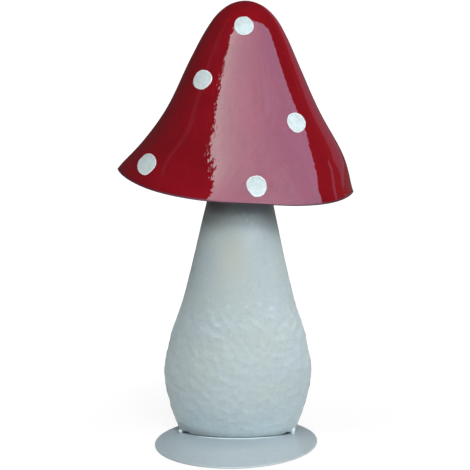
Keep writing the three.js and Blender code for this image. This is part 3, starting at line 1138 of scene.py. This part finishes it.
# %% Rays onto the cap
OUTLINE_VARIETY = 300.0
OUTLINE_SIZE = 0.9
RAY_LENGTH = 5.0
around = named(t, "around") * math.tau
spread = named(t, "spread")
middle = named(t, "middle", "FLOAT_VECTOR")
wide, high, egg = t.parts(named(t, "size", "FLOAT_VECTOR"))
cosine, sine = t.maths("COSINE", around), t.maths("SINE", around)
outline = t.point(cosine, sine, 0.0) + t.scaled(middle, OUTLINE_VARIETY)
wander = t.noise(outline, OUTLINE_SIZE, detail=2.0) - 0.5
reach = spread * (1 + wander * given("Wobble") + egg * cosine * sine)
aim_at = middle + t.scaled(given("Right"), wide * reach * cosine)
aim_at = aim_at + t.scaled(given("Up"), high * reach * sine)
cap_shape = t.node("GeometryNodeObjectInfo", values={"Object": given("Cap")}, out="Geometry")
hit = t.node(
    "GeometryNodeRaycast",
    values={
        "Target Geometry": cap_shape,
        "Source Position": given("Eye"),
        "Ray Direction": aim_at - given("Eye"),
        "Ray Length": RAY_LENGTH,
    },
    out="Hit Position",
)
outwards = t.other(hit, "Hit Normal")
print("The rays reach", RAY_LENGTH, "m from the eye")

# %% [markdown]
# ## The dabs' thickness
#
# From its middle outwards a dab is thin and streaked along the brush's stroke, then a
# little higher, and then it rounds off into the cap. Its underside lies within the
# sheet, so that the dab is a closed solid and not a loose skin.

# %% The dabs' thickness and underside
HUMP_RISE, HUMP_FALL = (0.72, 0.85), (0.86, 0.94)
BODY_FALL = (0.87, 0.99)
STREAK_SIZE, STREAK_STRETCH = 1.3 * MM, 0.35
STREAK_BASE, STREAK_DEPTH = 0.6, 0.8
hump = t.ramp(spread, *HUMP_RISE) * t.ramp(spread, *HUMP_FALL, 1.0, 0.0)
body = t.ramp(spread, *BODY_FALL, 1.0, 0.0)
stroke = t.point(wide * reach * cosine, high * reach * sine * STREAK_STRETCH, 0.0)
streak = t.noise(middle + stroke, STREAK_SIZE, detail=2.0)
film = given("Thickness") * (STREAK_BASE + STREAK_DEPTH * streak)
rise = body * film + hump * given("Rim Height")
on_cap = hit + t.scaled(outwards, rise - (1 - body) * given("Sunk"))
within = hit - t.scaled(outwards, given("Sunk"))
top = t.node("GeometryNodeSetPosition", values={"Geometry": dabs, "Position": on_cap})
under = t.node("GeometryNodeSetPosition", values={"Geometry": dabs, "Position": within})
under = t.node("GeometryNodeFlipFaces", values={"Mesh": under})
closed = t.node("GeometryNodeJoinGeometry", values={"Geometry": [top, under]})
finish_tree(t, merge(t, closed), given("Material"))
print("The dab tree has", len(t.tree.nodes), "nodes")

# %% [markdown]
# ## White enamel
#
# The white is opaque where the paint is thick and lets grey through where it is thin. So
# the colour follows the dab's own grid: spread runs from 0 in its middle to 1 at its
# edge, where a dark red ring is painted as the shade along the paint's edge. A ragged ring
# of clean white marks the raised rim. Each dab also has its own brightness, stored on its
# point, which is painted light: the dabs on the cap's shaded left are painted brighter.

# %% White enamel for the dabs
white = bpy.data.materials.new("dot_white")
white.use_nodes = True
white.node_tree.nodes.clear()
t = Tree(white.node_tree)
DAB_RIM = (0.84, 0.84, 0.86)
DAB_MIDDLE = (0.67, 0.79, 0.82)
DAB_THIN = (0.60, 0.70, 0.69)
# Painted shade: the dark ring round each dab's edge
DAB_EDGE_SHADE = (0.085, 0.02, 0.035)
RAGGED_SIZE, RAGGED_DEPTH = 2.2 * MM, 0.22
BLOTCH_SIZE, BLOTCH_EDGE = 2.6 * MM, (0.42, 0.62)
RIM_STARTS, EDGE_STARTS = (0.79, 0.86), (0.90, 0.93)
DAB_GLOSS, DAB_GLOSS_SIZE = (0.22, 0.42), 3 * MM
BRUSH_SIZE, BRUSH_DEPTH = 0.9 * MM, 0.03 * MM
place = t.node("ShaderNodeTexCoord", out="Object")
spread = t.node("ShaderNodeAttribute", {"attribute_name": "spread"}, out="Fac")
coat = t.node("ShaderNodeAttribute", {"attribute_name": "coat"}, out="Fac")
ragged = spread + (t.noise(place, RAGGED_SIZE, detail=2.0) - 0.5) * RAGGED_DEPTH
blotch = t.ramp(t.noise(place, BLOTCH_SIZE, detail=3.0), *BLOTCH_EDGE)
colour = t.blend(blotch, DAB_MIDDLE, DAB_THIN)
colour = t.scaled(t.blend(t.ramp(ragged, *RIM_STARTS), colour, DAB_RIM), coat)
colour = t.blend(t.ramp(spread, *EDGE_STARTS), colour, DAB_EDGE_SHADE)
low, high = DAB_GLOSS
rough = low + (high - low) * t.noise(place, DAB_GLOSS_SIZE, detail=2.0)
brushed = t.noise(place, BRUSH_SIZE, detail=2.0)
skin = t.node(
    "ShaderNodeBump",
    values={"Strength": 1.0, "Distance": BRUSH_DEPTH, "Height": brushed},
)
shader = t.node(
    "ShaderNodeBsdfPrincipled",
    values={
        "Base Color": colour,
        "Roughness": rough,
        "IOR": 1.5,
        "Normal": skin,
    },
)
t.node("ShaderNodeOutputMaterial", values={"Surface": shader})
print("The white enamel has", len(t.tree.nodes), "nodes")

# %% Dots
DOTS = [  # across and down in the picture, half width, half height, egg, brightness
    (243.8, 25.9, 10.8, 10.3, -0.02, 0.80),
    (202.6, 79.5, 10.3, 10.4, 0.17, 1.06),
    (296.2, 122.4, 9.8, 10.9, -0.15, 0.92),
    (146.8, 164.1, 9.6, 11.5, 0.24, 1.03),
    (256.7, 186.0, 10.7, 11.9, -0.08, 0.90),
]
pixel = (LOOKS_AT - CAMERA_AT).length / FOCAL_PIXELS
dot_places = []
for across, down, *_ in DOTS:
    aside = picture_right * (across - PICTURE_MIDDLE) + picture_up * (PICTURE_MIDDLE - down)
    dot_places.append(LOOKS_AT + aside * pixel)
spots = bpy.data.meshes.new("dot_places")
spots.from_pydata(dot_places, [], [])
sizes = [(wide * pixel, high * pixel, egg) for _, _, wide, high, egg, _ in DOTS]
mark(spots, "size", sizes, "FLOAT_VECTOR")
# Each dab's brightness is painted light: the dabs on the cap's shaded left are painted brighter
mark(spots, "coat", [dot[-1] for dot in DOTS])
dots = run_tree(
    "white_dots",
    dab_tree,
    spots,
    {
        "Cap": cap,
        "Segments": 73,
        "Rings": 27,
        "Eye": CAMERA_AT,
        "Right": picture_right,
        "Up": picture_up,
        "Thickness": 0.10 * MM,
        "Rim Height": 0.16 * MM,
        "Sunk": 0.08 * MM,
        "Wobble": 0.24,
        "Material": white,
    },
)
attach(dots, "root")

# %% [markdown]
# ## Weld beads
#
# A tack weld is a short run of molten puddles. Each puddle froze over the one before, so
# the bead has overlapping scales, a rough skin and round ends. Paint covers it in the
# colour of the piece it was dipped with. A tree sweeps a circle along a short path and
# pumps its radius up and down with the puddles. Each bead sinks into the sheets on both
# sides, as a weld does. Two numbers go to its paint: how much painted highlight and how
# much painted shadow it gets.

# %% The tree for a weld bead
END_BLUNTNESS = 3.0
bead_tree, given = new_tree(
    "Weld bead",
    Steps="Int",
    Sides="Int",
    Puddles="Float",
    Scale_Depth="Float",
    Lump_Size="Float",
    Lump_Depth="Float",
    Fresh="Float",
    Bare="Float",
    Seed="Float",
    Material="Material",
)
t = bead_tree
path = t.node("GeometryNodeMeshToCurve", values={"Mesh": given("Geometry")})
path = t.node(
    "GeometryNodeResampleCurve", {"mode": "COUNT"}, {"Curve": path, "Count": given("Steps")}
)
along = t.node("GeometryNodeSplineParameter", out="Factor")
to_end = t.maths("POWER", t.maths("ABSOLUTE", along * 2 - 1), END_BLUNTNESS)
end_round = t.maths("SQRT", t.maths("MAXIMUM", 1 - to_end, 0.0))
puddle = t.maths("FRACT", along * given("Puddles"))
dome = t.maths("SQRT", t.maths("MAXIMUM", 1 - puddle * puddle, 0.0))
radius = named(t, "thick") * end_round * (1 + given("Scale Depth") * dome)
ring = t.node(
    "GeometryNodeCurvePrimitiveCircle",
    {"mode": "RADIUS"},
    {"Resolution": given("Sides"), "Radius": 1.0},
)
tube = t.node(
    "GeometryNodeCurveToMesh",
    values={"Curve": path, "Profile Curve": ring, "Fill Caps": False, "Scale": radius},
)
place = t.node("GeometryNodeInputPosition")
lumps = t.node(
    "ShaderNodeTexNoise",
    {"noise_dimensions": "4D"},
    {
        "Vector": place,
        "W": given("Seed"),
        "Scale": 1 / given("Lump Size"),
        "Detail": 2.0,
    },
)
skin = t.node("GeometryNodeInputNormal")
tube = move(t, merge(t, tube), t.scaled(skin, (lumps - 0.5) * given("Lump Depth")))
tube = store(t, tube, "fresh", given("Fresh"))
finish_tree(t, store(t, tube, "bare", given("Bare")), given("Material"))
print("The bead tree has", len(t.tree.nodes), "nodes")

# %% A bead for a node
BEAD_SETTINGS = {
    "Steps": 42,
    "Sides": 24,
    "Puddles": 4.0,
    "Scale Depth": 0.16,
    "Lump Size": 1.6 * MM,
    "Lump Depth": 0.5 * MM,
    "Fresh": 0.0,
    "Bare": 0.0,
}


def bead(name, points, thick, seed, material, slot, **changes):
    """One weld bead along a path in metres, for the CAD node of the same name."""
    mesh = bpy.data.meshes.new(name)
    mesh.from_pydata(points, [(k, k + 1) for k in range(len(points) - 1)], [])
    mark(mesh, "thick", thick)
    inputs = {**BEAD_SETTINGS, **changes, "Seed": seed, "Material": material}
    made = run_tree(name + "_bead", bead_tree, mesh, inputs)
    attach(made, "root")
    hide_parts(name)


# %% [markdown]
# ## Where the beads go
#
# Each bead lies in its node's box, so its sizes are shares of half the box's width or
# height. The two at the foot's back corners show in the picture: they run down the
# stem's cut edge onto the plate. The right one stands higher and leans more. The other
# four lie level along the strap and only show from behind.

# %% Beads at the foot
FOOT_BEAD_SEED = 3.0
# The foot beads get a little painted highlight
FOOT_BEAD_LOOK = {"Fresh": 0.15, "Lump Depth": 1.0 * MM}
FOOT_BEADS = {  # shift, sideways lean of the top and extra height in radii, then thicknesses
    "left": (0.3, 0.1, 0.0, (0.35, 0.5, 0.55, 0.4)),
    "right": (-0.65, 0.5, 0.9, (0.35, 0.5, 0.65, 0.5)),
}
for seed, (side, (shift, lean, taller, shares)) in enumerate(FOOT_BEADS.items()):
    name = "foot_weld_" + side
    low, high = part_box(name)
    middle = (low + high) / 2
    radius = (high.x - low.x) / 2
    middle.x += shift * radius
    thick = [share * radius for share in shares]
    points = [  # from the stem's cut edge down and forward onto the plate
        (middle.x + lean * radius, high.y - 0.2 * radius, high.z - thick[0] + taller * radius),
        (middle.x + lean * radius / 2, middle.y + 0.3 * radius, (high.z + low.z) / 2),
        (middle.x, middle.y - 0.2 * radius, low.z + 0.4 * thick[2]),
        (middle.x - lean * radius, low.y + 0.7 * radius, low.z + 0.2 * thick[3]),
    ]
    seed += FOOT_BEAD_SEED
    bead(name, points, thick, seed, pale_enamel, "pale_enamel", **FOOT_BEAD_LOOK)

# %% Beads at the strap
STRAP_BEAD_SEED = 11.0
STRAP_BEAD_INSET = 0.7
STRAP_BEAD_SHARES = (0.62, 0.7, 0.6)
STRAP_BEADS = {
    "stem_weld_": (pale_enamel, "pale_enamel"),
    "strap_weld_": (red_enamel, "red_enamel"),
}
for kind, (material, slot) in STRAP_BEADS.items():
    for seed, side in enumerate(("left", "right")):
        low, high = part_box(kind + side)
        middle = (low + high) / 2
        radius = (high.z - low.z) / 2
        inset = Vector((STRAP_BEAD_INSET * radius, 0, 0))
        left_end, right_end = (Vector((x, middle.y, middle.z)) for x in (low.x, high.x))
        points = [left_end + inset, middle, right_end - inset]
        thick = [share * radius for share in STRAP_BEAD_SHARES]
        bead(kind + side, points, thick, STRAP_BEAD_SEED + seed, material, slot)

# %% [markdown]
# ## Paint at the foot's edge
#
# Enamel ran down the stem and froze on the plate as a thin pale line, a millimetre in
# front of the foot, and filled the joint behind it. The pale line also gets a little
# painted highlight. Beside both tack welds the joint is open instead, and shows as a dark
# gap. All four are one more bead along the foot's edge, thin, smooth and half sunk. The
# two gap beads are painted shadow: each lies in the hollow under a lifted corner and is
# painted the near black of an open joint in shade.

# %% Paint lines
LINE_POINTS = 60
LINE_LUMPS = 0.4
LINE_SETTINGS = {
    **BEAD_SETTINGS,
    "Steps": 160,
    "Sides": 12,
    "Scale Depth": 0.0,
    "Lump Size": 3 * MM,
    "Seed": 7.0,
    "Material": pale_enamel,
}
FOOT_LINES = (  # name, from, to, mm ahead of the foot, mm up, thickness, painted highlight, painted shadow
    ("foot_paint_line", 0.17, 0.85, 1.3, 1.25, 0.5, 0.15, 0.0),
    ("foot_paint_fill", 0.32, 0.74, 0.15, 1.25, 0.24, 0.0, 0.0),
    ("foot_gap_left", 0.01, 0.15, -1.1, 1.9, 0.9, 0.0, 1.0),
    ("foot_gap_right", 0.86, 0.985, -1.1, 1.9, 0.9, 0.0, 1.0),
)

foot_half = stem_curve[0, 0]
foot_edge = stem_turn[0]
foot_radius = foot_half / math.sin(foot_edge)
foot_centre = (stem_middle[0], BACK_Y + foot_radius * math.cos(foot_edge))
for name, start, end, ahead, line_z, thick, fresh, bare in FOOT_LINES:
    turns = (np.linspace(start, end, LINE_POINTS) * 2 - 1) * foot_edge
    line_x = foot_centre[0] + (foot_radius + ahead) * np.sin(turns)
    line_y = foot_centre[1] - (foot_radius + ahead) * np.cos(turns)
    line = bpy.data.meshes.new(name)
    points = [(x * MM, y * MM, line_z * MM) for x, y in zip(line_x, line_y)]
    line.from_pydata(points, [(k, k + 1) for k in range(LINE_POINTS - 1)], [])
    mark(line, "thick", [thick * MM] * LINE_POINTS)
    looks = {"Lump Depth": LINE_LUMPS * thick * MM, "Fresh": fresh, "Bare": bare}
    paint_line = run_tree(name, bead_tree, line, {**LINE_SETTINGS, **looks})
    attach(paint_line, "root")

# %% [markdown]
# ## Base plate
#
# The plate is a disc cut from sheet steel. Cutting leaves an edge that the paint rounds
# off, and the sheet isn't quite flat: it waves by a tenth of a millimetre. A polar grid
# of points says exactly that, so it is written out as a mesh.

# %% The plate's mesh
PLATE_RADIUS, PLATE_THICKNESS = 55.0, 1.2
PLATE_SEGMENTS, PLATE_RINGS = 180, 34
PLATE_WAVE = 0.12
EDGE_STEPS = 8
EDGE_ROUNDING = 0.45
EDGE_FULLNESS = 0.7


def waves(x, y, seed=1.0):
    """A smooth wave from 0 to 1 over the plate, in millimetres."""
    a = np.sin(x / 11 + seed) * np.cos(y / 9 - 1.3 * seed)
    b = np.sin((x + y) / 17 + 2.1 * seed) * np.cos((x - y) / 13 + seed)
    return (a + b + 2) / 4


def plate_profile():
    """The plate's radius and height, from the middle of its top round to its underside."""
    corner = PLATE_THICKNESS / 2
    flat = PLATE_RADIUS - EDGE_ROUNDING
    top = [(flat * k / PLATE_RINGS, PLATE_THICKNESS) for k in range(1, PLATE_RINGS + 1)]
    edge = []
    for step in range(1, EDGE_STEPS):
        bend = math.pi * step / EDGE_STEPS
        radius = flat + EDGE_ROUNDING * math.sin(bend) ** EDGE_FULLNESS
        edge.append((radius, corner + corner * math.cos(bend)))
    under = [(radius, 0.0) for radius, _ in reversed(top)]
    return np.array([*top, *edge, *under])


def plate_mesh():
    """The painted plate, and its points in millimetres."""
    profile = plate_profile()
    turn = np.linspace(0, math.tau, PLATE_SEGMENTS, endpoint=False)
    x = np.outer(profile[:, 0], np.cos(turn))
    y = np.outer(profile[:, 0], np.sin(turn))
    z = np.repeat(profile[:, 1:], PLATE_SEGMENTS, axis=1)
    z = np.where(z > PLATE_THICKNESS / 2, z - PLATE_WAVE * waves(x, y), z)
    points = [(0, 0, PLATE_THICKNESS - PLATE_WAVE * waves(0, 0)), (0, 0, 0)]
    points += list(zip(x.ravel(), y.ravel(), z.ravel()))

    def at(row, k):
        return 2 + row * PLATE_SEGMENTS + k % PLATE_SEGMENTS

    last = len(profile) - 1
    faces = [(0, at(0, k), at(0, k + 1)) for k in range(PLATE_SEGMENTS)]
    faces += [(1, at(last, k + 1), at(last, k)) for k in range(PLATE_SEGMENTS)]
    for row in range(last):
        for k in range(PLATE_SEGMENTS):
            faces.append((at(row, k), at(row + 1, k), at(row + 1, k + 1), at(row, k + 1)))
    mesh = bpy.data.meshes.new("base_plate_painted")
    mesh.from_pydata([tuple(c * MM for c in p) for p in points], [], faces)
    mesh.shade_smooth()
    return mesh, np.array(points, float)


# %% [markdown]
# ## Painted shade on the plate
#
# The plate is painted darker in front of the foot, where the stem shades it, more on the
# left and less towards both ends. It fades with the distance from the foot's edge. Within
# the foot, in the open back, the plate carries the same dark mark as the insides of the
# shells; there it is painted shade, as that part of the plate lies in the stem's shadow.

# %% Base plate
# How far the painted shade reaches in front of the foot, how much more of it lies on the left, and
# how it falls towards the ends
FOOT_SHADE_REACH = 20.0
LEFT_SHADE = 0.45
SHADE_FALL = 0.7


def plate_shade(across, along):
    """How much painted shade each point gets, and whether it lies within the foot, for lengths in
    mm.
    """
    ahead = np.hypot(across - foot_centre[0], along - foot_centre[1]) - foot_radius
    beside = np.maximum(np.abs(across - foot_centre[0]) - foot_half, 0)
    away = (np.maximum(ahead, 0) ** 2 + beside**2) / FOOT_SHADE_REACH**2
    aside = across / PLATE_RADIUS
    painted_shade = np.exp(-away) * (along < BACK_Y) * (1 - SHADE_FALL * np.abs(aside))
    painted_shade = np.minimum(painted_shade + LEFT_SHADE * np.maximum(-aside, 0), 1)
    return painted_shade, (ahead < -1) & (along < BACK_Y)


painted, plate_points = plate_mesh()
painted_shade, within = plate_shade(plate_points[:, 0], plate_points[:, 1])
mark(painted, "near_foot", painted_shade)
# Within the foot the plate gets the dark primer colour as painted shade
mark(painted, "inside", within)
plate = link(bpy.data.objects.new("base_plate_painted", painted))
plate.data.materials.append(plate_enamel)
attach(plate, "root")
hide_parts("base_plate")
print("The plate has", len(plate.data.polygons), "faces")

# %% [markdown]
# ## Strap
#
# The strap is a length of flat bar, cropped along the slope of the cap at both ends. Its
# solid has the right outline, so nothing is built anew: a merged copy of it gets the
# small rounded edges of rolled bar, and the red enamel gives it an uneven skin.

# %% Strap
STRAP_ROUNDING = 0.35 * MM
FLAT_ANGLE = 0.01
strap_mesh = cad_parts["cap_strap"].data.copy()
strap = link(bpy.data.objects.new("cap_strap_rounded", strap_mesh))
shape = bmesh.new()
shape.from_mesh(strap.data)
bmesh.ops.remove_doubles(shape, verts=shape.verts, dist=WELD_DISTANCE)
flat_edges = [edge for edge in shape.edges if edge.calc_face_angle(0) < FLAT_ANGLE]
bmesh.ops.dissolve_edges(shape, edges=flat_edges)
bmesh.ops.bevel(
    shape, geom=shape.edges, offset=STRAP_ROUNDING, segments=3, profile=0.5, affect="EDGES"
)
shape.to_mesh(strap.data)
shape.free()
strap.data.shade_smooth()
strap.data.materials.clear()
strap.data.materials.append(red_enamel)
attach(strap, "root")
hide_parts("cap_strap")
print("The strap has", len(strap.data.polygons), "faces")
